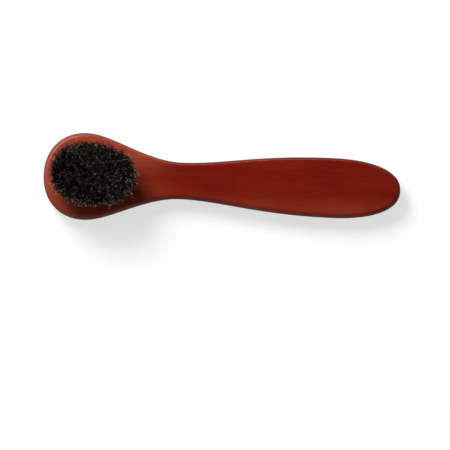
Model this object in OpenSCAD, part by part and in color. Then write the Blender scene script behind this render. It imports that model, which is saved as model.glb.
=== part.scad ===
// Shoe polish dauber: a flat wooden paddle with a round pad of horsehair tufts on its wide end.
// It lies on its back with the hair up. X runs along the board, from the rim of the head to the grip.
// The origin is under the middle of the board's length, on its back face.

/* [Board outline] */
// Length of the board, from the rim of the head to the end of the grip
board_len = 170; // [155:1:190]
// Width of the head at its widest place
head_w = 41.4; // [38:0.2:48]
// Distance from the rim of the head to its widest place
head_front = 20; // [17:0.5:24]
// Squareness of the rim of the head, where 2 is an ellipse
head_square = 2.15; // [2:0.05:2.6]
// How far the outline stays near the head's full width before it falls to the neck
head_ease = 12; // [8:0.5:18]
// Width of the neck at its narrowest place
neck_w = 17.4; // [14:0.2:22]
// Distance from the rim of the head to the narrowest place of the neck
neck_at = 65.5; // [60:0.5:72]
// How far the outline stays near the neck's width, on the side of the head
neck_ease_head = 17; // [10:0.5:22]
// How far the outline stays near the neck's width, on the side of the grip
neck_ease_grip = 19; // [10:0.5:26]
// Width of the grip at its widest place
grip_w = 28.5; // [24:0.5:34]
// Distance from the widest place of the grip to its end
grip_end = 33; // [26:0.5:38]
// How far the outline stays near the grip's full width before it falls to the neck
grip_ease = 35; // [24:0.5:40]
// Squareness of the end of the grip, where 2 is an ellipse
grip_square = 2.3; // [2:0.05:2.6]

/* [Board edge] */
// Thickness of the board
board_t = 12; // [11.2:0.2:16]
// Height of the edge's widest line above the back face
edge_mid = 6.2; // [5:0.2:8]
// How far the edge draws in towards the back face
back_round = 3.8; // [2:0.2:5]
// Squareness of the back half of the edge, where 2 is an ellipse
back_square = 2.2; // [2:0.1:4]
// How far the edge of the head draws in towards the front face, which holds the hair
head_round = 3.6; // [1:0.1:4.4]
// How far the edge of the neck and the grip draws in towards the front face
grip_round = 2.2; // [1:0.1:3]
// Squareness of the front half of the edge, where 2 is an ellipse
front_square = 3; // [2:0.1:4]

/* [Tuft holes] */
// Diameter of the drilled holes
hole_d = 3.4; // [2.8:0.1:3.6]
// Depth of a hole, from the front face to where the drill's point begins
hole_depth = 8; // [6:0.5:8.5]
// Angle of the drill's point
drill_angle = 118; // [90:2:140]
// Length of the pad of holes, over their outer edges
pad_len = 34.4; // [32:0.2:37]
// Width of the pad of holes, over their outer edges
pad_w = 23; // [21.6:0.2:26]
// Distance from the rim of the head to the middle of the pad
pad_at = 23.2; // [21:0.2:26]
// Distance along a row, from one hole to the next
hole_pitch = 4.5; // [4.3:0.1:5.4]
// Distance between one ring of holes and the next one in
ring_gap = 4.35; // [4.1:0.05:4.6]

/* [Horsehair] */
// Height of the hair above the front face
hair_h = 20; // [14:0.5:26]
// Length of the pad over the tips of its hair
tips_len = 43.4; // [40:0.2:48]
// Width of the pad over the tips of its hair
tips_w = 31; // [28.6:0.2:36]
// How far the tips lean towards the grip
tips_lean = 1; // [0:0.1:2]
// Share of the flare that waits for the upper half of the hair, where 0 is a straight flare
flare_bend = 0.2; // [0:0.05:0.5]
// How many times wider a tuft is at its tips than at its root
tuft_open_ratio = 1.5; // [1.2:0.05:1.6]
// How much lower the tips stand at the rim of the pad than at its middle
tips_dome = 1.3; // [0:0.1:2]
// Most that one strand is shorter than its neighbour
ragged = 0.8; // [0:0.1:1.5]
// Most that the tip of one strand strays to the side
stray = 0.2; // [0:0.05:0.25]
// Strands in the inner circle of a tuft
inner_strands = 5; // [3:1:5]
// Strands in the outer circle of a tuft
outer_strands = 9; // [6:1:9]
// Radius of a strand at its root
strand_root = 0.26; // [0.15:0.01:0.28]
// Radius of a strand at half its height
strand_mid = 0.28; // [0.15:0.01:0.3]
// Radius of a strand at its tip
strand_tip = 0.2; // [0.1:0.01:0.24]

/* [Anchor wires] */
// Thickness of the flat wire that holds the fold of a tuft
wire_t = 0.4; // [0.3:0.05:0.6]
// Height of the flat wire
wire_h = 1.4; // [1:0.1:1.8]
// How far each end of the wire bites into the wall of its hole
wire_bite = 0.3; // [0.2:0.05:0.35]
// Thickness of the fold of hair under the wire
fold_t = 1.2; // [0.8:0.1:1.6]
// Angle of the wires to the length of the board
wire_turn = 45; // [0:5:90]
// Gap all round a root in its hole and a wire in its slots
fit_gap = 0.04; // [0.02:0.01:0.08]

/* [Hidden] */
$fn = 48;
rim_steps = 15;
neck_steps = 13;
edge_steps = 6;
arc_steps = 180;
strand_sides = 3;
strand_sink = 0.5;
strand_inset = 0.02;
drill_run = 1;
hair_seed = 7;

head_x = -board_len / 2;
pad_x = head_x + pad_at;
hole_r = hole_d / 2;
root_r = hole_r - fit_gap;
hole_floor = board_t - hole_depth;
drill_tip = hole_r / tan(drill_angle / 2);
wire_z = hole_floor + fold_t;
wire_len = hole_d + 2 * wire_bite;

// Outer circle of strands, as wide as the root of the tuft lets it be, and inner circle half as wide.
strand_ring = root_r - strand_root - strand_inset;
strand_ring_in = strand_ring / 2;
tuft_reach = strand_ring * tuft_open_ratio + strand_tip + stray;

// Semi-axes of the two oval rings of holes, and half the length of the straight row between them.
ring_a = pad_len / 2 - hole_r;
ring_b = pad_w / 2 - hole_r;
row_half = ring_a - 2 * ring_gap;

// How many times further from the middle of the pad a tuft stands at its tips, along and across the board.
flare_x = (tips_len / 2 - tuft_reach) / ring_a;
flare_y = (tips_w / 2 - tuft_reach) / ring_b;

// Point on a quarter of an oval with semi-axes a and b, which turns squarer as its squareness grows.
function oval(a, b, square, turn) =
    [a * pow(cos(turn), 2 / square), b * pow(sin(turn), 2 / square)];

// Cubic curve from p to q that leaves p and reaches q along X, holding on to each for its ease.
function ease(p, q, p_ease, q_ease, t) =
    pow(1 - t, 3) * p
    + 3 * pow(1 - t, 2) * t * (p + [p_ease, 0])
    + 3 * (1 - t) * t * t * (q - [q_ease, 0])
    + pow(t, 3) * q;

// Upper half of the outline, from the rim of the head to the end of the grip.
widest_head = [head_x + head_front, head_w / 2];
narrowest = [head_x + neck_at, neck_w / 2];
widest_grip = [-head_x - grip_end, grip_w / 2];
half_outline = concat(
    [for (i = [0:rim_steps])
        let (p = oval(head_front, head_w / 2, head_square, 90 * i / rim_steps))
        [widest_head.x - p.x, p.y]],
    [for (i = [1:neck_steps])
        ease(widest_head, narrowest, head_ease, neck_ease_head, i / neck_steps)],
    [for (i = [1:neck_steps])
        ease(narrowest, widest_grip, neck_ease_grip, grip_ease, i / neck_steps)],
    [for (i = [1:rim_steps])
        let (p = oval(grip_end, grip_w / 2, grip_square, 90 - 90 * i / rim_steps))
        [widest_grip.x + p.x, p.y]]);
half_n = len(half_outline) - 1;

// Whole outline, clockwise from above: the upper half and its mirror image, without the two ends again.
outline = concat(half_outline, [for (i = [half_n - 1:-1:1]) [half_outline[i].x, -half_outline[i].y]]);
outline_n = len(outline);

// Direction straight out of the outline at one of its points.
function outward(i) =
    let (along = outline[(i + 1) % outline_n] - outline[(i + outline_n - 1) % outline_n])
    [-along.y, along.x] / norm(along);

// Section of the edge from the back face to the front face. Each step gives how far the back rounding draws
// it in, its share of the front rounding, and its height.
edge = concat(
    [for (i = [0:edge_steps])
        let (p = oval(back_round, edge_mid, back_square, 90 - 90 * i / edge_steps))
        [back_round - p.x, 0, edge_mid - p.y]],
    [for (i = [1:edge_steps])
        let (p = oval(1, board_t - edge_mid, front_square, 90 * i / edge_steps))
        [0, 1 - p.x, edge_mid + p.y]]);
edge_n = len(edge);

// Front rounding at a place along the board: the head's, which passes into the grip's on the way from the
// widest place of the head to the neck.
function front_round(x) =
    let (t = max(0, min(1, (x - widest_head.x) / (narrowest.x - widest_head.x))))
    head_round + (grip_round - head_round) * t * t * (3 - 2 * t);

// Number of a point of the board, on one line of the edge and at one place round the outline.
function spot(line, i) = line * outline_n + (i + outline_n) % outline_n;

board_points = [
    for (e = edge)
        for (i = [0:outline_n - 1])
            let (p = outline[i] - (e[0] + e[1] * front_round(outline[i].x)) * outward(i))
            [p.x, p.y, e[2]]];

// Flat face on one line of the edge, as strips across the board.
function flat_face(line, up) = [
    for (i = [0:half_n - 1])
        let (
            four = [spot(line, i), spot(line, i + 1), spot(line, -i - 1), spot(line, -i)],
            face = i == 0 ? [four[0], four[1], four[2]]
                : i == half_n - 1 ? [four[0], four[1], four[3]]
                : four)
        up ? face : [for (j = [len(face) - 1:-1:0]) face[j]]];

// Two triangles for each stretch of the edge between two lines.
edge_faces = [
    for (line = [0:edge_n - 2])
        for (i = [0:outline_n - 1])
            for (half = [0, 1])
                half == 0
                ? [spot(line, i), spot(line, i + 1), spot(line + 1, i + 1)]
                : [spot(line, i), spot(line + 1, i + 1), spot(line + 1, i)]];

// Length of an oval from its end on the X axis to each of its steps, as [length, turn].
function oval_lengths(a, b) = [
    for (i = 0, run = 0;
        i <= arc_steps;
        i = i + 1,
        run = run + norm(oval_step(a, b, i) - oval_step(a, b, i - 1)))
        [run, 360 * i / arc_steps]];
function oval_step(a, b, i) = [a * cos(360 * i / arc_steps), b * sin(360 * i / arc_steps)];

// Holes evenly spaced along an oval ring.
function ring_of_holes(a, b) =
    let (
        lengths = oval_lengths(a, b),
        whole = lengths[arc_steps][0],
        n = round(whole / hole_pitch))
    [for (i = [0:n - 1])
        let (turn = lookup(whole * (i + 0.5) / n, lengths))
        [a * cos(turn), b * sin(turn)]];

// Holes evenly spaced along the straight row in the middle.
function row_of_holes(half) =
    let (n = max(1, round(2 * half / hole_pitch)))
    [for (i = [0:n]) [half * (2 * i / n - 1), 0]];

outer_holes = ring_of_holes(ring_a, ring_b);
inner_holes = ring_of_holes(ring_a - ring_gap, ring_b - ring_gap);
middle_holes = row_of_holes(row_half);
holes = concat(outer_holes, inner_holes, middle_holes);

// Roots of the strands of one tuft, in two circles round the middle of the hole.
function circle_of_strands(n, r, turn) =
    [for (i = [0:n - 1]) r * [cos(turn + 360 * i / n), sin(turn + 360 * i / n)]];
function tuft_roots(turn) = concat(
    circle_of_strands(inner_strands, strand_ring_in, turn),
    circle_of_strands(outer_strands, strand_ring, turn));

// Share of the flare that is reached at a share t of the height.
function flare(t) = t * (1 - flare_bend + flare_bend * t);

// Middle of a strand at a share t of its height, seen from above and measured from the middle of the pad.
function strand_middle(hole, root, drift, t) =
    let (s = flare(t))
    [hole.x * (1 + (flare_x - 1) * s) + tips_lean * s, hole.y * (1 + (flare_y - 1) * s)]
    + root * (1 + (tuft_open_ratio - 1) * s)
    + drift * t;

// How high a strand stands: lower towards the rim of the pad, and ragged by its own share.
function strand_height(hole, root, short) =
    let (far = norm([(hole.x + root.x) / (ring_a + hole_r), (hole.y + root.y) / (ring_b + hole_r)]))
    hair_h - tips_dome * far * far - ragged * short;

tuft_names = concat(
    [for (i = [1:len(outer_holes)]) str("outer_tuft_", i)],
    [for (i = [1:len(inner_holes)]) str("inner_tuft_", i)],
    [for (i = [1:len(middle_holes)]) str("middle_tuft_", i)]);

// Goes to a hole's middle on the pad.
module at_hole(hole) {
    translate([pad_x + hole.x, hole.y, 0])
        children();
}

// Flat wire across a hole, or its slot when it is given a gap.
module wire(gap) {
    translate([0, 0, wire_z + wire_h / 2])
        rotate([0, 0, wire_turn])
            cube([wire_len, wire_t, wire_h] + 2 * gap * [1, 1, 1], center = true);
}

// Blind hole with the cone that the drill's point leaves.
module tuft_hole() {
    translate([0, 0, hole_floor])
        cylinder(h = hole_depth + drill_run, r = hole_r);
    translate([0, 0, hole_floor - drill_tip])
        cylinder(h = drill_tip, r1 = 0, r2 = hole_r);
}

// One strand: a slim three-sided rod of three sections, which leans out with the flare.
module strand(hole, root, short, drift, turn) {
    height = strand_height(hole, root, short);
    sections = [[0, strand_root, -strand_sink], [0.5, strand_mid, height / 2], [1, strand_tip, height]];
    points = [
        for (s = sections)
            for (k = [0:strand_sides - 1])
                let (
                    middle = strand_middle(hole, root, drift, s[0]),
                    side = turn + 360 * k / strand_sides)
                [middle.x + s[1] * cos(side), middle.y + s[1] * sin(side), board_t + s[2]]];
    sides = [
        for (level = [0, 1])
            for (k = [0:strand_sides - 1])
                for (half = [0, 1])
                    let (
                        low = level * strand_sides + k,
                        next = level * strand_sides + (k + 1) % strand_sides)
                    half == 0
                    ? [low, low + strand_sides, next + strand_sides]
                    : [low, next + strand_sides, next]];
    ends = [
        [for (k = [0:strand_sides - 1]) k],
        [for (k = [3 * strand_sides - 1:-1:2 * strand_sides]) k]];
    polyhedron(points, concat(sides, ends));
}

// Paddle: one piece of wood, with its rounded edge, its tuft holes and the slots that the wires cut.
module handle() {
    color([0.44, 0.11, 0.07])
        difference() {
            polyhedron(board_points, concat(flat_face(0, false), edge_faces, flat_face(edge_n - 1, true)));
            for (hole = holes)
                at_hole(hole) {
                    tuft_hole();
                    wire(fit_gap);
                }
        }
}

// Flat wires that hold the folds of the tufts at the bottom of their holes.
module wire_anchors() {
    color([0.72, 0.6, 0.36])
        for (hole = holes)
            at_hole(hole)
                wire(0);
}

// Tuft: the root fills its hole and folds round the wire, and its strands stand out of the front face.
module tuft(i) {
    hole = holes[i];
    roots = tuft_roots(rands(0, 360, 1, hair_seed + i)[0]);
    n = len(roots);
    short = rands(0, 1, n, hair_seed + 100 + i);
    turn = rands(0, 360, n, hair_seed + 200 + i);
    way = rands(0, 360, n, hair_seed + 300 + i);
    color([0.13, 0.11, 0.1])
        difference() {
            union() {
                at_hole(hole) {
                    translate([0, 0, hole_floor + root_r])
                        cylinder(h = hole_depth - root_r, r = root_r);
                    translate([0, 0, hole_floor + root_r])
                        sphere(r = root_r);
                }
                translate([pad_x, 0, 0])
                    for (j = [0:n - 1])
                        strand(hole, roots[j], short[j], stray * [cos(way[j]), sin(way[j])], turn[j]);
            }
            at_hole(hole)
                wire(fit_gap);
        }
}

handle();
wire_anchors();
for (i = [0:len(holes) - 1])
    tuft(i);
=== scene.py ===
import math

import bpy
import numpy as np
from mathutils import Matrix, Vector
from mathutils.geometry import delaunay_2d_cdt


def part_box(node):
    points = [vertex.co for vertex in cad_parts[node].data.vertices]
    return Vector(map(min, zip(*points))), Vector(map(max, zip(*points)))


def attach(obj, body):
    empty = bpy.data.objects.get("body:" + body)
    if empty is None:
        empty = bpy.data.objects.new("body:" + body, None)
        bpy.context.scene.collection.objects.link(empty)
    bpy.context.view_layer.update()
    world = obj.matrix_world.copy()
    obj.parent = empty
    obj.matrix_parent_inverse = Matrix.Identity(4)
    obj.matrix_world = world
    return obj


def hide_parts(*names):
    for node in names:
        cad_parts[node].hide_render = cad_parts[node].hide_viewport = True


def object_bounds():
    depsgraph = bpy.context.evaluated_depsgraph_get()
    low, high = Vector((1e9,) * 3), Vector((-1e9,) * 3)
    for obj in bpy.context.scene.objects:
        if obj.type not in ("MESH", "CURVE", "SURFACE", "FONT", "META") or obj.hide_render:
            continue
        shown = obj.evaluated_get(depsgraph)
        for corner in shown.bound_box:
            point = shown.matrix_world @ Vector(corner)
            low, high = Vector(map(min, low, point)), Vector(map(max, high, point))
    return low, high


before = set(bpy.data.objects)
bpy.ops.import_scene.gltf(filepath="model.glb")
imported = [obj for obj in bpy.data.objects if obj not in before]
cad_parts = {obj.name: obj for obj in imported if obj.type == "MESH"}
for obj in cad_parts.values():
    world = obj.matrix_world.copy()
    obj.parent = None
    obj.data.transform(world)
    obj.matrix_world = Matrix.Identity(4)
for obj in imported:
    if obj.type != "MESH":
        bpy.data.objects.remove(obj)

# The dauber lies on its back with its hair up. Lengths are in millimetres until they go into a mesh.
MM = 0.001
CAD_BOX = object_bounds()
BOARD_LOW, BOARD_HIGH = (np.array(corner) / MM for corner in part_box("handle"))
BOARD_T = BOARD_HIGH[2]
HEAD_X = BOARD_LOW[0]
GRIP_X = BOARD_HIGH[0]
HEAD_W = BOARD_HIGH[1] - BOARD_LOW[1]
HAIR_TOP = CAD_BOX[1][2] / MM
TUFTS = sorted(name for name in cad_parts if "_tuft_" in name)

# Outline of the board, as in the solid that it replaces.
HEAD_FRONT = 20.0
HEAD_SQUARE = 2.15
HEAD_EASE = 12.0
NECK_W = 17.4
NECK_AT = 65.5
NECK_EASE_HEAD = 17.0
NECK_EASE_GRIP = 19.0
GRIP_W = 28.5
GRIP_END = 33.0
GRIP_EASE = 35.0
GRIP_SQUARE = 2.3

# Section of the board's edge.
EDGE_MID = 6.2
BACK_ROUND = 3.8
BACK_SQUARE = 2.2
HEAD_ROUND = 3.6
GRIP_ROUND = 2.2
FRONT_SQUARE = 3.0

# Fineness of the board's mesh.
CURVE_STEPS = 400
OUTLINE_POINTS = 330
EDGE_STEPS = 20
HOLE_SIDES = 28
WELD = 1e-7

# The board's UV map: a strip for each face and for each side of the edge, and small cells for the holes.
UV_START = 0.01
UV_LENGTH = 0.98
UV_BACK = 0.01
UV_FRONT = 0.265
UV_UPPER_SIDE = 0.515
UV_LOWER_SIDE = 0.62
UV_HOLES = 0.74
UV_HOLES_A_ROW = 17
UV_HOLE_PITCH = (0.056, 0.08)
UV_HOLE_TURN = 0.05
UV_HOLE_MOUTH = 0.045
UV_HOLE_FLOOR = 0.01

# A hair's cell of the tuft's UV map: its margin and the width of the hair in it, as shares of the cell.
UV_HAIR_MARGIN = 0.1
UV_HAIR_WIDTH = 0.8

# Tuft holes, and the oval that the tips of the hair fill.
HOLE_R = 1.7
HOLE_DEPTH = 8.0
DRILL_TIP = 1.0
WITHIN_HOLE = 0.99
ROOT_BELOW = 1.0
PAD_AT = 23.2
TIPS_FORWARD = 1.0
TIPS_MIDDLE = np.array([HEAD_X + PAD_AT + TIPS_FORWARD, 0.0])
TIPS_HALF = np.array([41.2, 30.0]) / 2
TIPS_SQUARE = 2.2
TIPS_EGG = 0.05
TIPS_LEAN = math.radians(-3)
TIPS_DOME = 1.3

# The hairs of a tuft and the locks that they lie in.
HAIR_SEED = 7
HAIRS = 400
HAIR_SIDES = 3
HAIR_LEVELS = np.array([-0.08, 0.0, 0.12, 0.27, 0.44, 0.62, 0.81, 1.0])
HAIR_R = 0.095
HAIR_R_SHARES = (0.75, 1.25)
TAPER_AT = [0, 0.5, 0.85, 1]
TAPER = [0.85, 1, 0.85, 0.5]
FLARE = np.array([1.215, 1.3])
FLARE_BEND = 0.2
SPREAD_POWER = 1.8
SEATS_SHARE = 0.93
LOCKS = 8
LOCK_SEATS_SHARE = 0.85
LOCK_WAIST = 0.32
LOCK_TIPS = 0.08

# How far hairs and locks stray, in millimetres, and the share of the hairs that do.
TIP_STRAY = 0.14
TUFT_BLUR = 0.8
BOW = 0.45
LOCK_BOW = 0.12
KINK = 0.22
KINK_POWER = 5
TRIM = 1.1
TRIM_POWER = 1.5
LOCK_TRIM = 0.25
SHORT_SHARE = 0.1
SHORT_BY = (0.5, 3.5)
STRAY_SHARE = 0.03
STRAY = 0.8
FRINGE_FROM = 0.8
FRINGE_WIDTH = 0.2
FRINGE_SHARE = 0.4
FRINGE_STRAY = 0.45
FRINGE_REACH = 1.5

# Tone of the hairs, from 0 for black to 1 for the palest.
TONE = 0.28
TONE_SPREAD = 0.16
LOCK_TONE_SPREAD = 0.08
FRINGE_TONE = 0.34
TONE_TOP = 0.76
PALE_SHARE = 0.13
PALE_TONES = (0.75, 0.95)
PALEST_SHARE = 0.045
FRINGE_PALER = 0.6

# The plug of folded hair in a hole, from its floor to below its mouth.
PLUG_SIDES = 12
PLUG_R = np.array([0.02, 0.75, 1, 1, 0.02]) * HOLE_R * 0.97
PLUG_DEPTH = np.array([HOLE_DEPTH, HOLE_DEPTH - 0.5, HOLE_DEPTH - 1.8, 0.9, 0.6])

# Stain of the wood, in its darker and its lighter figure, where it is deep and where it is warm. The warm
# colour is partly the stain's own and partly painted sheen and reflected light.
DEEP_STAIN = [(0.3, (0.150, 0.0070, 0.0032)), (0.7, (0.200, 0.0135, 0.0050))]
WARM_STAIN_AND_SHEEN = [(0.3, (0.255, 0.0365, 0.0180)), (0.7, (0.325, 0.0640, 0.0310))]

# Marks of the wood: width and length in millimetres, octaves of detail, and how rough they are.
FIGURE = (9, 34, 4, 0.6)
STREAKS = (1.1, 34, 4, 0.6)
FIBRES = (0.32, 9, 2, 0.5)
PORES = (0.2, 3.2, 1, 0.5)

# Tints of the streaks, fibres and pores of the wood, and how strong each of them is.
STREAK_TINTS = [(0.3, (0.91, 0.88, 0.87)), (0.55, (1.0, 1.0, 1.0)), (0.8, (1.06, 1.1, 1.1))]
FIBRE_TINTS = [(0.3, (0.90, 0.88, 0.86)), (0.7, (1.06, 1.08, 1.08))]
PORE_TINTS = [(0.24, (0.55, 0.5, 0.5)), (0.33, (1.0, 1.0, 1.0))]
STREAK_SHARE = 0.85
FIBRE_SHARE = 0.8
PORE_SHARE = 0.6

# Where the colour turns warm, in metres: along the board, up the edge to the front, and to one side. This
# warm turn on the head's front and the lower side is partly stain and partly painted sheen and reflected
# light.
WARM_ALONG = (-0.022, -0.065)
WARM_BEND = -2.0
WARM_HEAD_SHARE = 0.8
WARM_UP = (0.007, 0.0118)
WARM_BACK_SHARE = 0.4
WARM_ACROSS = (-0.001, -0.012)
WARM_SIDE_SHARE = 0.3

# Lacquer: how rough it is, how it shines, and its ripple: marks to a metre, strength, and depth in metres.
LACQUER_ROUGH = (0.26, 0.4)
COAT_WEIGHT = 0.11
COAT_ROUGH = 0.24
COAT_IOR = 2.1
RIPPLE_SCALE = (160, 260, 260)
RIPPLE_STRENGTH = 0.12
RIPPLE_DEPTH = 0.0006

# Colour of a hair by its tone, and how that colour is darkened lower down as painted shade in the depth of
# the pad and lightened at the tips as painted light.
HAIR_COLOURS = [
    (0.0, (0.0006, 0.0005, 0.0005)), (0.35, (0.0018, 0.0015, 0.0014)), (0.6, (0.0130, 0.0112, 0.0098)),
    (0.76, (0.08, 0.069, 0.06)), (0.92, (0.34, 0.29, 0.25)), (1.0, (0.38, 0.34, 0.3))]
HAIR_SHADE_AND_LIGHT = [
    (0.0, (0.3, 0.3, 0.3)), (0.6, (0.42, 0.42, 0.42)), (0.88, (0.6, 0.6, 0.6)), (1.0, (2.6, 2.55, 2.5))]
HAIR_ROUGH = 0.36
HAIR_GLOSS = 0.12

# Brass of the wires: its darker and its lighter lines, how rough they are, and how many a metre holds.
BRASS = [(0.3, (0.55, 0.38, 0.14)), (0.7, (0.68, 0.5, 0.22))]
BRASS_ROUGH = (0.25, 0.45)
BRASS_SCALE = (900, 900, 9000)

# Viewpoint of the photograph, whose picture is 450 pixels square.
PICTURE_PX = 450
MM_PER_PX = 170 / 356.9
BOARD_MIDDLE_PX = (221.9, 182.95)
VIEW_ELEVATION = math.radians(86.4)
VIEW_ROLL = math.radians(2.7)
VIEW_DISTANCE = 2500.0
SENSOR_W = 36.0

# The table, in metres, and how bright it is.
TABLE_HALF = 2.0
TABLE_TOP = -0.00005
TABLE_TONE = 0.4
TABLE_GLOW = 0.66

# The room: its palest side, its light from low down to overhead, and how high the white backdrop goes.
WHITE = (1, 1, 1, 1)
PALE_SIDE = (-0.85, 0.53, 0.0)
PALE_REACH = (-0.8, 0.8)
PALE_LEVELS = (0.02, 0.96)
ROOM_LIGHT = [(rise, (grey, grey, grey)) for rise, grey in (
    (0.0, 0.9), (0.5, 0.8), (0.78, 0.5), (0.92, 0.05), (1.0, 0.025))]
BACKDROP_RISE = (0.1, 0.25)

# The window: its side of the room, where it fades, and its strength for matt surfaces and in gloss.
WINDOW_SIDE = (-0.65, 0.76, 0.0)
WINDOW_WIDE = (0.55, 0.9)
WINDOW_TOP = (0.9, 0.5)
WINDOW_SILL = (0.15, 0.5)
SILL_SHARE = 0.12
WINDOW_LEVEL = 1.2
WINDOW_SHINE = 15.0

# The lamp, in metres and watts.
LAMP_PLACE = (-0.36, 0.48, 0.7)
LAMP_SIZE = 0.4
LAMP_POWER = 8.6


def add_camera():
    """Long lens nearly square to the front face, rolled so that the board falls to the right."""
    back = Vector((0, -math.cos(VIEW_ELEVATION), math.sin(VIEW_ELEVATION)))
    level_up = Vector((0, math.sin(VIEW_ELEVATION), math.cos(VIEW_ELEVATION)))
    level_right = Vector((1, 0, 0))
    right = level_right * math.cos(VIEW_ROLL) + level_up * math.sin(VIEW_ROLL)
    up = level_up * math.cos(VIEW_ROLL) - level_right * math.sin(VIEW_ROLL)
    aim = Vector((0, 0, EDGE_MID))
    aim -= right * (BOARD_MIDDLE_PX[0] - PICTURE_PX / 2) * MM_PER_PX
    aim -= up * (PICTURE_PX / 2 - BOARD_MIDDLE_PX[1]) * MM_PER_PX
    data = bpy.data.cameras.new("camera")
    data.sensor_width = SENSOR_W
    data.lens = SENSOR_W * VIEW_DISTANCE / (PICTURE_PX * MM_PER_PX)
    data.clip_start = 0.1
    data.clip_end = 20
    camera = bpy.data.objects.new("camera", data)
    turn = Matrix((right, up, back)).transposed().to_4x4()
    camera.matrix_world = Matrix.Translation((aim + back * VIEW_DISTANCE) * MM) @ turn
    bpy.context.scene.collection.objects.link(camera)
    bpy.context.scene.camera = camera


add_camera()


def oval(a, b, square, turn):
    """Quarter of a superellipse: x = a cos(turn)^(2/square), y = b sin(turn)^(2/square)."""
    return np.stack([a * np.cos(turn) ** (2 / square), b * np.sin(turn) ** (2 / square)], 1)


def ease(p, q, p_ease, q_ease):
    """Cubic Bezier curve from p to q with both handles along X, without its first point."""
    t = np.linspace(0, 1, CURVE_STEPS + 1)[1:, None]
    handles = [p, p + [p_ease, 0], q - [q_ease, 0], q]
    weights = [(1 - t) ** 3, 3 * (1 - t) ** 2 * t, 3 * (1 - t) * t * t, t ** 3]
    return sum(weight * handle for weight, handle in zip(weights, handles))


def evenly(points, count):
    """Points of a line moved to equal steps of its length."""
    run = np.concatenate([[0], np.cumsum(np.linalg.norm(np.diff(points, axis=0), axis=1))])
    steps = np.linspace(0, run[-1], count)
    return np.stack([np.interp(steps, run, points[:, k]) for k in (0, 1)], 1)


def half_outline():
    """Upper half of the outline from the rim of the head to the end of the grip: a quarter oval, two eased
    curves that meet at the neck, and a quarter oval."""
    quarter = np.linspace(0, np.pi / 2, CURVE_STEPS)
    widest_head = np.array([HEAD_X + HEAD_FRONT, HEAD_W / 2])
    narrowest = np.array([HEAD_X + NECK_AT, NECK_W / 2])
    widest_grip = np.array([GRIP_X - GRIP_END, GRIP_W / 2])
    head = widest_head * [1, 0] + oval(HEAD_FRONT, HEAD_W / 2, HEAD_SQUARE, quarter) * [-1, 1]
    grip = widest_grip * [1, 0] + oval(GRIP_END, GRIP_W / 2, GRIP_SQUARE, quarter[::-1])
    return evenly(np.concatenate([
        head,
        ease(widest_head, narrowest, HEAD_EASE, NECK_EASE_HEAD),
        ease(narrowest, widest_grip, NECK_EASE_GRIP, GRIP_EASE),
        grip[1:]]), OUTLINE_POINTS)


def edge_section(front_round):
    """Section of the edge from the back face to the front face, as (drawn in, height): two quarter ovals
    that meet upright at the widest line."""
    quarter = np.linspace(0, np.pi / 2, EDGE_STEPS)
    low = [BACK_ROUND, EDGE_MID] - oval(BACK_ROUND, EDGE_MID, BACK_SQUARE, quarter[::-1])
    high = [front_round, EDGE_MID] + oval(front_round, BOARD_T - EDGE_MID, FRONT_SQUARE, quarter) * [-1, 1]
    return np.concatenate([low, high[1:]])


def smooth(share):
    """Share from 0 to 1 that starts and ends level: 3s^2 - 2s^3."""
    share = np.clip(share, 0, 1)
    return share * share * (3 - 2 * share)


def grid(*sizes):
    """All combinations of whole numbers below each of the sizes, as one flat array for each size."""
    return [axis.ravel() for axis in np.meshgrid(*(np.arange(size) for size in sizes), indexing="ij")]


def put_mesh(name, points, faces, uv, material, node):
    """Puts points in millimetres, faces (a list of index arrays, each of one face size) and one UV pair for
    each corner into a mesh that rides on the dauber's only body."""
    mesh = bpy.data.meshes.new(name)
    sizes = np.concatenate([np.full(len(group), group.shape[1]) for group in faces])
    corners = np.concatenate([group.ravel() for group in faces])
    mesh.vertices.add(len(points))
    mesh.vertices.foreach_set("co", (np.asarray(points) * MM).ravel())
    mesh.loops.add(len(corners))
    mesh.loops.foreach_set("vertex_index", corners)
    mesh.polygons.add(len(sizes))
    mesh.polygons.foreach_set("loop_start", np.concatenate([[0], np.cumsum(sizes)[:-1]]))
    mesh.polygons.foreach_set("loop_total", sizes)
    mesh.update(calc_edges=True)
    mesh.uv_layers.new(name="OFBake").data.foreach_set("uv", np.concatenate(uv).ravel())
    mesh.shade_smooth()
    mesh.materials.append(material)
    piece = bpy.data.objects.new(name, mesh)
    bpy.context.scene.collection.objects.link(piece)
    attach(piece, "root")
    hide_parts(node)
    return piece


def tuft_root(node):
    """Middle of the tuft's root, read from the part of its solid that lies under the front face."""
    at = np.array([vertex.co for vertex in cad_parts[node].data.vertices]) / MM
    deep = at[at[:, 2] < BOARD_T - ROOT_BELOW]
    return (deep.min(0)[:2] + deep.max(0)[:2]) / 2


ROOTS = {node: tuft_root(node) for node in TUFTS}
ROOT_AT = np.array(list(ROOTS.values()))
PAD_MIDDLE = (ROOT_AT.max(0) + ROOT_AT.min(0)) / 2


def board_rings(half):
    """Edge of the board as rings of its whole outline, each drawn in along its own normal by the section of
    the edge, which passes from the head's to the grip's. Gives the rings and the height of each."""
    loop = np.concatenate([half, half[-2:0:-1] * [1, -1]])
    along = np.roll(loop, -1, 0) - np.roll(loop, 1, 0)
    outward = np.stack([-along[:, 1], along[:, 0]], 1) / np.linalg.norm(along, axis=1)[:, None]
    section, grip_section = edge_section(HEAD_ROUND), edge_section(GRIP_ROUND)
    to_grip = smooth((loop[:, 0] - HEAD_X - HEAD_FRONT) / (NECK_AT - HEAD_FRONT))
    inset = section[:, :1] * (1 - to_grip) + grip_section[:, :1] * to_grip
    return loop[None] - inset[:, :, None] * outward[None], section[:, 1]


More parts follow.
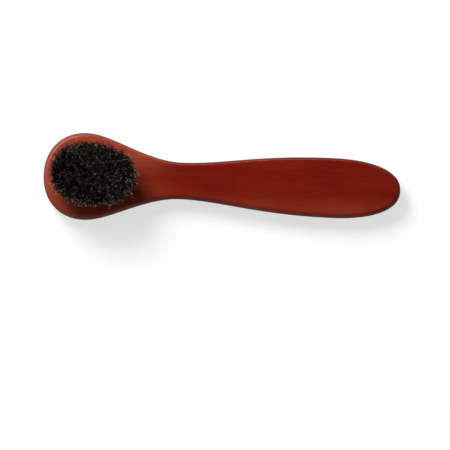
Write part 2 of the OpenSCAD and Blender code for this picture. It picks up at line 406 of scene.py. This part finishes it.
def edge_faces(half, count):
    """Quads between neighbouring rings of the edge, as one strip of the UV map for each side."""
    section = edge_section(HEAD_ROUND)
    line, spot = grid(len(section) - 1, count)
    low, high = line * count + spot, (line + 1) * count + spot
    low_next, high_next = line * count + (spot + 1) % count, (line + 1) * count + (spot + 1) % count
    rise = np.concatenate([[0], np.cumsum(np.linalg.norm(np.diff(section, axis=0), axis=1))])
    steps = len(half) - 1
    lower = spot >= steps
    start = (spot - steps * lower) / steps
    base = np.where(lower, UV_LOWER_SIDE, UV_UPPER_SIDE)
    tall = UV_LENGTH / np.linalg.norm(np.diff(half, axis=0), axis=1).sum()
    uv = np.stack([
        np.stack([UV_START + UV_LENGTH * (start + step / steps), base + tall * rise[line + up]], 1)
        for step, up in ((0, 0), (0, 1), (1, 1), (1, 0))], 1).reshape(-1, 2)
    return np.stack([low, high, high_next, low_next], 1), uv


def face_uv(at, base):
    """A flat face laid out as it is, along the UV map and up from the base."""
    return np.stack([
        UV_START + UV_LENGTH * (at[:, 0] - HEAD_X) / (GRIP_X - HEAD_X),
        base + UV_LENGTH * (at[:, 1] + HEAD_W / 2) / (GRIP_X - HEAD_X)], 1)


def back_faces(steps, count):
    """Strips across the flat back face, and the triangle at each of its ends."""
    spot = np.arange(1, steps - 1)
    strips = np.stack([spot, spot + 1, count - spot - 1, count - spot], 1)
    return strips, np.array([[0, 1, count - 1], [steps - 1, steps, steps + 1]])


def front_faces(outline, mouths):
    """Triangles of the flat front face, between its outline and the mouths of the holes. Its points are those
    of the outline and then those of the mouths."""
    flat = np.concatenate([outline, mouths])
    count = len(outline)
    closed = [(spot, (spot + 1) % count) for spot in range(count)]
    for first in range(count, len(flat), HOLE_SIDES):
        closed += [(first + spot, first + (spot + 1) % HOLE_SIDES) for spot in range(HOLE_SIDES)]
    made = delaunay_2d_cdt([Vector(point) for point in flat], closed, [], 1, WELD)
    source = np.array([origin[0] for origin in made[3]])
    tris = source[np.array(made[2])]
    middle = flat[tris].mean(1)
    in_hole = (np.linalg.norm(middle[:, None] - ROOT_AT[None], axis=2) < HOLE_R * WITHIN_HOLE).any(1)
    tris = tris[~in_hole]
    a, b, c = (flat[tris[:, corner]] for corner in range(3))
    turned = (b[:, 0] - a[:, 0]) * (c[:, 1] - a[:, 1]) < (b[:, 1] - a[:, 1]) * (c[:, 0] - a[:, 0])
    tris[turned] = tris[turned][:, ::-1]
    return tris


def hole_faces(mouth_at, floor_at, tip_at):
    """Upright wall and drilled cone of each hole, from the numbers of the first point of all mouths, of all
    floors and of all tips. Each hole has a small cell of the UV map."""
    hole, spot = grid(len(ROOTS), HOLE_SIDES)
    here, there = hole * HOLE_SIDES + spot, hole * HOLE_SIDES + (spot + 1) % HOLE_SIDES
    walls = np.stack([mouth_at + here, mouth_at + there, floor_at + there, floor_at + here], 1)
    cones = np.stack([floor_at + here, floor_at + there, tip_at + hole], 1)
    cell = np.stack([
        UV_START + UV_HOLE_PITCH[0] * (hole % UV_HOLES_A_ROW),
        UV_HOLES + UV_HOLE_PITCH[1] * (hole // UV_HOLES_A_ROW)], 1)

    def in_cell(corners):
        """Corners of a face in its cell, each given as steps round the hole and height."""
        return np.stack([
            cell + np.stack([UV_HOLE_TURN * (spot + step) / HOLE_SIDES, np.full(len(spot), rise)], 1)
            for step, rise in corners], 1).reshape(-1, 2)

    mouth, floor = UV_HOLE_MOUTH, UV_HOLE_FLOOR
    wall_uv = in_cell([(0, mouth), (1, mouth), (1, floor), (0, floor)])
    return walls, cones, wall_uv, in_cell([(0, floor), (1, floor), (0.5, 0.0)])


def add_paddle(material):
    """Board: its rounded edge, closed by two flat faces. The front one is cut round the tuft holes."""
    half = half_outline()
    rings, heights = board_rings(half)
    count = rings.shape[1]
    edge = np.dstack([rings, np.repeat(heights[:, None], count, 1)]).reshape(-1, 3)
    turn = np.linspace(0, 2 * np.pi, HOLE_SIDES, endpoint=False)
    circle = HOLE_R * np.stack([np.cos(turn), np.sin(turn)], 1)
    mouths = np.concatenate([root + circle for root in ROOTS.values()])
    top_at = len(edge) - count
    mouth_at = len(edge)
    floor_at = mouth_at + len(mouths)
    tip_at = floor_at + len(mouths)
    points = np.concatenate([
        edge,
        np.c_[mouths, np.full(len(mouths), BOARD_T)],
        np.c_[mouths, np.full(len(mouths), BOARD_T - HOLE_DEPTH)],
        [[*root, BOARD_T - HOLE_DEPTH - DRILL_TIP] for root in ROOTS.values()]])

    quads, quad_uv = edge_faces(half, count)
    strips, ends = back_faces(len(half) - 1, count)
    front = top_at + front_faces(rings[-1], mouths)
    walls, cones, wall_uv, cone_uv = hole_faces(mouth_at, floor_at, tip_at)
    strip_uv, end_uv = (face_uv(points[face.ravel()], UV_BACK) for face in (strips, ends))
    front_uv = face_uv(points[front.ravel()], UV_FRONT)
    mesh = put_mesh(
        "paddle", points, [quads, strips, ends, front, walls, cones],
        [quad_uv, strip_uv, end_uv, front_uv, wall_uv, cone_uv], material, "handle").data
    mesh.polygons.foreach_set("use_smooth", np.repeat(
        [True, False, True], [len(quads), len(strips) + len(ends) + len(front), len(walls) + len(cones)]))
    pairs = np.empty(len(mesh.edges) * 2, int)
    mesh.edges.foreach_get("vertices", pairs)
    at_mouth = ((pairs >= mouth_at) & (pairs < floor_at)).reshape(-1, 2).all(1)
    mesh.attributes.new("sharp_edge", "BOOLEAN", "EDGE").data.foreach_set("value", at_mouth)


def flare(t):
    """Share of the flare at a share t of the height: t(1 - bend + bend t), so that the hair curves out."""
    return t * (1 - FLARE_BEND + FLARE_BEND * t)


def sunflower(count, turn):
    """Points spread evenly over the unit disc: the k-th lies at a radius of the square root of its share and
    turns on from the last by the golden angle."""
    k = np.arange(count) + 0.5
    angle = turn + k * np.pi * (3 - math.sqrt(5))
    return np.sqrt(k / count)[:, None] * np.stack([np.cos(angle), np.sin(angle)], 1)


def spread_tips(draw):
    """Tips of all hairs, spread evenly over the top of the pad and shaken a little. The top is a
    superellipse: the points of a disc, each times (|cos|^s + |sin|^s)^(-1/s) of its turn, for squareness s.
    It is a little wider towards the rim of the head and turned a little. Each hair goes to the tuft whose
    root, moved out with the flare, is about the nearest. Gives one array of tips for each tuft."""
    disc = sunflower(HAIRS * len(TUFTS), 0.0)
    turn = np.arctan2(disc[:, 1], disc[:, 0])
    square = (np.abs(np.cos(turn)) ** TIPS_SQUARE + np.abs(np.sin(turn)) ** TIPS_SQUARE) ** (-1 / TIPS_SQUARE)
    place = disc * square[:, None]
    place[:, 1] *= 1 - TIPS_EGG * place[:, 0]
    along = np.array([math.cos(TIPS_LEAN), math.sin(TIPS_LEAN)])
    lean = np.array([along, [-along[1], along[0]]])
    tips = TIPS_MIDDLE + (place * TIPS_HALF) @ lean + draw.normal(0, TIP_STRAY, disc.shape)
    spots = TIPS_MIDDLE + (ROOT_AT - PAD_MIDDLE) * FLARE
    sought = tips + draw.normal(0, TUFT_BLUR, disc.shape)
    nearest = np.argmin(((sought[:, None] - spots[None]) ** 2).sum(2), 1)
    return [tips[nearest == k] for k in range(len(TUFTS))]


def lock_middles(at, lock):
    """For each hair, the middle of all hairs of its lock."""
    share = np.maximum(np.bincount(lock, minlength=LOCKS), 1)
    return np.stack([np.bincount(lock, at[:, k], LOCKS) / share for k in (0, 1)], 1)[lock]


def hair_seats(root, tips, draw):
    """Where the hairs start in their hole, and the lock of each. The share of the hole's radius at which a
    hair starts is the square root of its rank by distance at the top."""
    off = tips - tips.mean(0)
    reach = np.linalg.norm(off, axis=1)
    rank = np.argsort(np.argsort(reach)) + 0.5
    seat = root + HOLE_R * SEATS_SHARE * np.sqrt(rank / len(tips))[:, None] * off / reach[:, None]
    lock_seat = root + HOLE_R * LOCK_SEATS_SHARE * sunflower(LOCKS, draw.uniform(0, 2 * np.pi))
    return seat, np.argmin(((seat[:, None] - lock_seat[None]) ** 2).sum(2), 1)


def hair_tips(tips, lock, draw):
    """Tips moved by a share of the way to the middle of their lock. Some near the rim of the pad reach out as
    a fringe, and a few stray anywhere. Gives the tips and how much each belongs to the fringe."""
    n = len(tips)
    place = (tips - TIPS_MIDDLE) / TIPS_HALF
    rim = np.clip((np.linalg.norm(place, axis=1) - FRINGE_FROM) / FRINGE_WIDTH, 0, 1)
    tip = tips + draw.normal(0, TIP_STRAY, (LOCKS, 2))[lock] + LOCK_TIPS * (lock_middles(tips, lock) - tips)
    fringe = rim * (draw.random(n) < FRINGE_SHARE)
    fringe_tip = draw.normal(0, FRINGE_STRAY, (n, 2)) + draw.uniform(0, FRINGE_REACH, n)[:, None] * place
    tip += fringe[:, None] * fringe_tip
    stray = draw.random(n) < STRAY_SHARE
    tip += stray[:, None] * draw.normal(0, STRAY, (n, 2))
    return tip, fringe


def hair_lines(root, seat, top, tip, lock, draw):
    """Middle line of each hair seen from above, at shares t of its height. Round the tuft's own line, which
    flares out, it goes from its seat to its tip by the share 1 - (1 - t)^power. The hairs of a lock are drawn
    together and bow by half a wave, sin(pi t), and near their tips they kink by a high power of t."""
    n = len(tip)
    bow = draw.normal(0, BOW, (n, 2)) + draw.normal(0, LOCK_BOW, (LOCKS, 2))[lock]
    kink = draw.normal(0, KINK, (n, 2))
    t = np.maximum(HAIR_LEVELS, 0)[None, :, None]
    wave = np.sin(np.pi * t)
    spread = 1 - (1 - t) ** SPREAD_POWER
    tuft_line = root + (top - root) * flare(t)
    line = tuft_line + (seat - root)[:, None] * (1 - spread) + (tip - top)[:, None] * spread
    lock_line = tuft_line + lock_middles(seat - root, lock)[:, None] * (1 - spread)
    lock_line = lock_line + lock_middles(tip - top, lock)[:, None] * spread
    line = line + LOCK_WAIST * wave * (lock_line - line) + bow[:, None] * wave
    return line + kink[:, None] * t ** KINK_POWER


def hair_heights(tips, lock, draw):
    """How high the hairs stand on the board: the full height, less a dome that grows with the cube of the
    distance from the middle of the pad, less an uneven trim. Some hairs are short."""
    n = len(tips)
    far = np.linalg.norm((tips - TIPS_MIDDLE) / TIPS_HALF, axis=1)
    height = HAIR_TOP - BOARD_T - TIPS_DOME * far ** 3 - TRIM * draw.random(n) ** TRIM_POWER
    height += draw.normal(0, LOCK_TRIM, LOCKS)[lock]
    height -= (draw.random(n) < SHORT_SHARE) * draw.uniform(*SHORT_BY, n)
    return np.minimum(height, HAIR_TOP - BOARD_T)


def hair_skins(line, height, draw):
    """Points of the hairs: at each level a ring of corners round the middle line, at the hair's radius times
    its taper there."""
    n = len(line)
    thick = HAIR_R * draw.uniform(*HAIR_R_SHARES, n)
    r = thick[:, None] * np.interp(HAIR_LEVELS, TAPER_AT, TAPER)[None]
    side = draw.uniform(0, 2 * np.pi, n)[:, None] + 2 * np.pi * np.arange(HAIR_SIDES) / HAIR_SIDES
    ring = np.stack([np.cos(side), np.sin(side)], 2)
    xy = line[:, :, None] + r[:, :, None, None] * ring[:, None]
    z = BOARD_T + HAIR_LEVELS[None] * height[:, None]
    return np.concatenate([xy, np.repeat(z[:, :, None, None], HAIR_SIDES, 2)], 3).reshape(-1, 3)


def hair_faces(n, across):
    """Sides and end caps of the hairs. Each hair has a cell of the UV map, which is so many cells across."""
    levels = len(HAIR_LEVELS)
    hair, level, side = grid(n, levels - 1, HAIR_SIDES)
    first = (hair * levels + level) * HAIR_SIDES
    here, there = first + side, first + (side + 1) % HAIR_SIDES
    quads = np.stack([here, there, there + HAIR_SIDES, here + HAIR_SIDES], 1)
    foot = np.arange(n)[:, None] * levels * HAIR_SIDES
    caps = np.concatenate([foot + [2, 1, 0], foot + (levels - 1) * HAIR_SIDES + [0, 1, 2]])
    size = 1 / across
    width = UV_HAIR_WIDTH * size
    cell = np.stack([np.arange(n) % across, np.arange(n) // across], 1) * size + UV_HAIR_MARGIN * size
    quad_uv = np.stack([
        cell[hair] + width * np.stack([(side + turn) / HAIR_SIDES, (level + up) / (levels - 1)], 1)
        for turn, up in ((0, 0), (1, 0), (1, 1), (0, 1))], 1).reshape(-1, 2)
    cap_uv = np.concatenate([
        (cell[:, None] + width * np.array([[0, up], [0.5, up], [1, up]])).reshape(-1, 2)
        for up in (0.0, 1.0)])
    return quads, caps, quad_uv, cap_uv


def plug_of_hair(root):
    """Points and faces of the plug that fills a hole below its mouth: a rounded profile turned round the
    middle of the hole."""
    around = np.linspace(0, 2 * np.pi, PLUG_SIDES, endpoint=False)
    points = np.stack([
        root[0] + PLUG_R[:, None] * np.cos(around),
        root[1] + PLUG_R[:, None] * np.sin(around),
        np.repeat(BOARD_T - PLUG_DEPTH[:, None], PLUG_SIDES, 1)], 2).reshape(-1, 3)
    level, spot = grid(len(PLUG_R) - 1, PLUG_SIDES)
    here, there = level * PLUG_SIDES + spot, level * PLUG_SIDES + (spot + 1) % PLUG_SIDES
    return points, np.stack([here, there, there + PLUG_SIDES, here + PLUG_SIDES], 1)


def hair_tones(fringe, lock, draw):
    """Tone of each hair, a little different in each lock, paler in the fringe, and with some pale hairs."""
    n = len(lock)
    tone = draw.normal(TONE, TONE_SPREAD, n) + draw.normal(0, LOCK_TONE_SPREAD, LOCKS)[lock]
    tone = np.clip(tone + FRINGE_TONE * fringe, 0, TONE_TOP)
    pale = draw.random(n) * (1 - FRINGE_PALER * fringe)
    tone = np.where(pale < PALE_SHARE, draw.uniform(*PALE_TONES, n), tone)
    return np.where(pale < PALEST_SHARE, 1.0, tone)


def add_tuft(node, tips, material, draw):
    """Tuft of slim three-sided hairs that fan out from their hole to their tips, and its plug of hair."""
    root = ROOTS[node]
    seat, lock = hair_seats(root, tips, draw)
    tip, fringe = hair_tips(tips, lock, draw)
    line = hair_lines(root, seat, tips.mean(0), tip, lock, draw)
    points = hair_skins(line, hair_heights(tips, lock, draw), draw)
    across = math.ceil(math.sqrt(len(tips) + 1))
    quads, caps, quad_uv, cap_uv = hair_faces(len(tips), across)
    plug, plug_quads = plug_of_hair(root)
    plug_uv = np.full((len(plug_quads) * 4, 2), 1 - 0.5 / across)
    mesh = put_mesh(
        "hair_" + node, np.concatenate([points, plug]), [quads, caps, len(points) + plug_quads],
        [quad_uv, cap_uv, plug_uv], material, node).data
    tone = np.repeat(hair_tones(fringe, lock, draw), len(HAIR_LEVELS) * HAIR_SIDES)
    up = np.tile(np.repeat(np.maximum(HAIR_LEVELS, 0), HAIR_SIDES), len(tips))
    for name, values in (("hair_tone", tone), ("hair_height", up)):
        values = np.concatenate([values, np.zeros(len(plug))])
        mesh.attributes.new(name, "FLOAT", "POINT").data.foreach_set("value", values)


def new_material(name):
    """Material with an empty node tree, and a function that adds a node with its settings and inputs."""
    material = bpy.data.materials.new(name)
    material.use_nodes = True
    tree = material.node_tree
    tree.nodes.clear()
    return material, node_adder(tree)


def node_adder(tree):
    """Adds a node: settings by name, inputs by name or number, each a value or another node's output."""
    def add(kind, inputs=(), **settings):
        node = tree.nodes.new("ShaderNode" + kind)
        for name, value in settings.items():
            setattr(node, name, value)
        for name, value in dict(inputs).items():
            socket = node.inputs[name]
            if isinstance(value, bpy.types.NodeSocket):
                tree.links.new(value, socket)
            else:
                socket.default_value = value
        return node
    return add


def ramp(add, factor, stops):
    """Colour ramp through (place, colour) stops."""
    node = add("ValToRGB", {"Fac": factor})
    elements = node.color_ramp.elements
    while len(elements) < len(stops):
        elements.new(0.5)
    for element, (place, colour) in zip(elements, stops):
        element.position = place
        element.color = (*colour, 1)
    return node.outputs["Color"]


def between(add, value, ends, low=0.0, high=1.0, kind="SMOOTHSTEP"):
    """Goes from low to high while the value goes from the first of the ends to the second."""
    return add("MapRange", {
        "Value": value, "From Min": ends[0], "From Max": ends[1], "To Min": low, "To Max": high},
        interpolation_type=kind).outputs[0]


def product(add, a, b):
    """One value times another."""
    return add("Math", {0: a, 1: b}, operation="MULTIPLY").outputs[0]


def larger(add, a, b):
    """The larger of two values."""
    return add("Math", {0: a, 1: b}, operation="MAXIMUM").outputs[0]


def tinted(add, share, colour, tint):
    """A colour multiplied by a share of a tint."""
    return add("MixRGB", {"Fac": share, "Color1": colour, "Color2": tint}, blend_type="MULTIPLY").outputs[0]


def noise(add, where, scale, detail, rough=0.5):
    """Noise whose marks are as fine along each axis as its scale says."""
    place = add("Mapping", {"Vector": where, "Scale": scale}).outputs[0]
    return add("TexNoise", {
        "Vector": place, "Scale": 1.0, "Detail": detail, "Roughness": rough}).outputs["Fac"]


def lacquered_wood():
    """Close-grained wood with a red-brown stain under clear lacquer: a deep stain that turns warm along one
    side and on the front of the head, further back away from the middle line, where the warm colour is partly
    the stain's own and partly painted sheen and reflected light; then streaks and fine fibres along the
    board, short dark pores, and the faint ripple of a brushed coat."""
    material, add = new_material("lacquered_wood")
    where = add("TexCoord").outputs["Object"]

    def marks(across, along, detail, rough):
        """Noise whose marks are so wide across the board and so long along it, in millimetres."""
        return noise(add, where, (1000 / along, 1000 / across, 1000 / across), detail, rough)

    figure, streaks, fibres, pores = (marks(*sizes) for sizes in (FIGURE, STREAKS, FIBRES, PORES))
    place = add("SeparateXYZ", {0: where}).outputs
    off_middle = add("Math", {0: place["Y"]}, operation="ABSOLUTE").outputs[0]
    curved = add("Math", {0: off_middle, 1: WARM_BEND, 2: place["X"]}, operation="MULTIPLY_ADD").outputs[0]
    # Warm colour on the front of the head and along the lower side: partly stain, partly painted sheen and
    # reflected light.
    to_head = between(add, curved, WARM_ALONG, high=WARM_HEAD_SHARE)
    to_front = between(add, place["Z"], WARM_UP, low=WARM_BACK_SHARE)
    to_side = between(add, place["Y"], WARM_ACROSS, high=WARM_SIDE_SHARE)
    warmth_and_sheen = larger(add, product(add, to_head, to_front), to_side)
    deep, warm = (ramp(add, figure, stain) for stain in (DEEP_STAIN, WARM_STAIN_AND_SHEEN))
    stain_and_sheen = add("MixRGB", {"Fac": warmth_and_sheen, "Color1": deep, "Color2": warm}).outputs[0]
    streaked = tinted(add, STREAK_SHARE, stain_and_sheen, ramp(add, streaks, STREAK_TINTS))
    fibred = tinted(add, FIBRE_SHARE, streaked, ramp(add, fibres, FIBRE_TINTS))
    colour = tinted(add, PORE_SHARE, fibred, ramp(add, pores, PORE_TINTS))
    ripple = noise(add, where, RIPPLE_SCALE, 1)
    bump = add("Bump", {
        "Height": ripple, "Strength": RIPPLE_STRENGTH, "Distance": RIPPLE_DEPTH}).outputs[0]
    rough = between(add, streaks, (0, 1), *LACQUER_ROUGH, "LINEAR")
    shader = add("BsdfPrincipled", {
        "Base Color": colour, "Roughness": rough, "Specular IOR Level": 0.0, "Coat Weight": COAT_WEIGHT,
        "Coat Roughness": COAT_ROUGH, "Coat IOR": COAT_IOR, "Normal": bump, "Coat Normal": bump})
    add("OutputMaterial", {"Surface": shader.outputs[0]})
    return material


def horsehair():
    """Black-brown hair whose tone differs from hair to hair, with a few pale hairs, painted shade that
    darkens it lower down and painted light on its greyer tips.
    """
    material, add = new_material("horsehair")
    tone, height = (
        add("Attribute", attribute_name=name).outputs["Fac"] for name in ("hair_tone", "hair_height"))
    # Painted shade darkens each hair towards its root, and painted light brightens its tips.
    colour = tinted(add, 1.0, ramp(add, tone, HAIR_COLOURS), ramp(add, height, HAIR_SHADE_AND_LIGHT))
    shader = add("BsdfPrincipled", {
        "Base Color": colour, "Roughness": HAIR_ROUGH, "Specular IOR Level": HAIR_GLOSS})
    add("OutputMaterial", {"Surface": shader.outputs[0]})
    return material


def drawn_brass():
    """Drawn brass wire: fine lines along it and a slightly uneven polish."""
    material, add = new_material("drawn_brass")
    lines = noise(add, add("TexCoord").outputs["Object"], BRASS_SCALE, 2)
    rough = between(add, lines, (0, 1), *BRASS_ROUGH, "LINEAR")
    shader = add("BsdfPrincipled", {
        "Base Color": ramp(add, lines, BRASS), "Metallic": 1.0, "Roughness": rough})
    add("OutputMaterial", {"Surface": shader.outputs[0]})
    return material


def seen_rays(add):
    """1 for rays from the camera and from gloss or glass, which all show the white surroundings."""
    path = add("LightPath").outputs
    seen = larger(add, path["Is Camera Ray"], path["Is Glossy Ray"])
    return larger(add, seen, path["Is Transmission Ray"])


def add_floor():
    """Plain white table just below the dauber's back, which keeps its shadow."""
    material, add = new_material("white_table")
    matt = add("BsdfDiffuse", {"Color": (TABLE_TONE, TABLE_TONE, TABLE_TONE, 1)})
    glow = add("Emission", {"Color": WHITE, "Strength": TABLE_GLOW})
    both = add("AddShader", {0: matt.outputs[0], 1: glow.outputs[0]})
    pick = add("MixShader", {0: seen_rays(add), 1: matt.outputs[0], 2: both.outputs[0]})
    add("OutputMaterial", {"Surface": pick.outputs[0]})
    ends = ((-1, -1), (1, -1), (1, 1), (-1, 1))
    mesh = bpy.data.meshes.new("table")
    mesh.from_pydata([(x * TABLE_HALF, y * TABLE_HALF, TABLE_TOP) for x, y in ends], [], [(0, 1, 2, 3)])
    mesh.materials.append(material)
    floor = bpy.data.objects.new("table", mesh)
    bpy.context.scene.collection.objects.link(floor)


def towards(add, way, side):
    """How far a direction goes to one side: their dot product."""
    return add("VectorMath", {0: way, 1: side}, operation="DOT_PRODUCT").outputs["Value"]


def add_world():
    """Pale room that is darker overhead and away from its pale side, with a white backdrop low down for the
    rays that show it. A wide window, fading out at its sides, top and sill, adds its light and shows brighter
    in gloss."""
    world = bpy.data.worlds.new("room")
    bpy.context.scene.world = world
    world.use_nodes = True
    world.node_tree.nodes.clear()
    add = node_adder(world.node_tree)
    way = add("TexCoord").outputs["Generated"]
    rise = add("SeparateXYZ", {0: way}).outputs["Z"]
    level = between(add, towards(add, way, PALE_SIDE), PALE_REACH, *PALE_LEVELS, "LINEAR")
    backdrop = between(add, rise, BACKDROP_RISE, 1.0, 0.0, "LINEAR")
    shade = add("Background", {"Color": ramp(add, rise, ROOM_LIGHT), "Strength": level})
    white = add("Background", {"Color": WHITE, "Strength": 1.0})
    room = add("MixShader", {
        0: product(add, backdrop, seen_rays(add)), 1: shade.outputs[0], 2: white.outputs[0]})

    wide = between(add, towards(add, way, WINDOW_SIDE), WINDOW_WIDE)
    tall = between(add, rise, WINDOW_TOP)
    sill = between(add, rise, WINDOW_SILL, low=SILL_SHARE)
    in_gloss = add("LightPath").outputs["Is Glossy Ray"]
    gleam = between(add, in_gloss, (0, 1), WINDOW_LEVEL, WINDOW_SHINE, "LINEAR")
    faded = product(add, product(add, wide, tall), sill)
    window = add("Background", {"Color": WHITE, "Strength": product(add, faded, gleam)})
    lit = add("AddShader", {0: room.outputs[0], 1: window.outputs[0]})
    add("OutputWorld", {"Surface": lit.outputs[0]})


def add_lamp(name, place, size, power):
    """Soft square lamp that faces the dauber. It gives no glint: what shines is the window."""
    data = bpy.data.lights.new(name, "AREA")
    data.shape = "SQUARE"
    data.size = size
    data.energy = power
    lamp = bpy.data.objects.new(name, data)
    lamp.visible_camera = False
    lamp.visible_glossy = False
    lamp.location = place
    lamp.rotation_mode = "QUATERNION"
    lamp.rotation_quaternion = (-Vector(place)).to_track_quat("-Z", "Y")
    bpy.context.scene.collection.objects.link(lamp)


wood = lacquered_wood()
hair = horsehair()
brass = drawn_brass()
add_paddle(wood)
shaken = np.random.default_rng(HAIR_SEED)
for tuft_node, tuft_tips in zip(TUFTS, spread_tips(shaken)):
    add_tuft(tuft_node, tuft_tips, hair, shaken)
for material_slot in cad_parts["wire_anchors"].material_slots:
    material_slot.material = brass

add_floor()
add_world()
add_lamp("key", LAMP_PLACE, LAMP_SIZE, LAMP_POWER)

bpy.context.scene.view_settings.view_transform = "Standard"
bpy.context.view_layer.update()
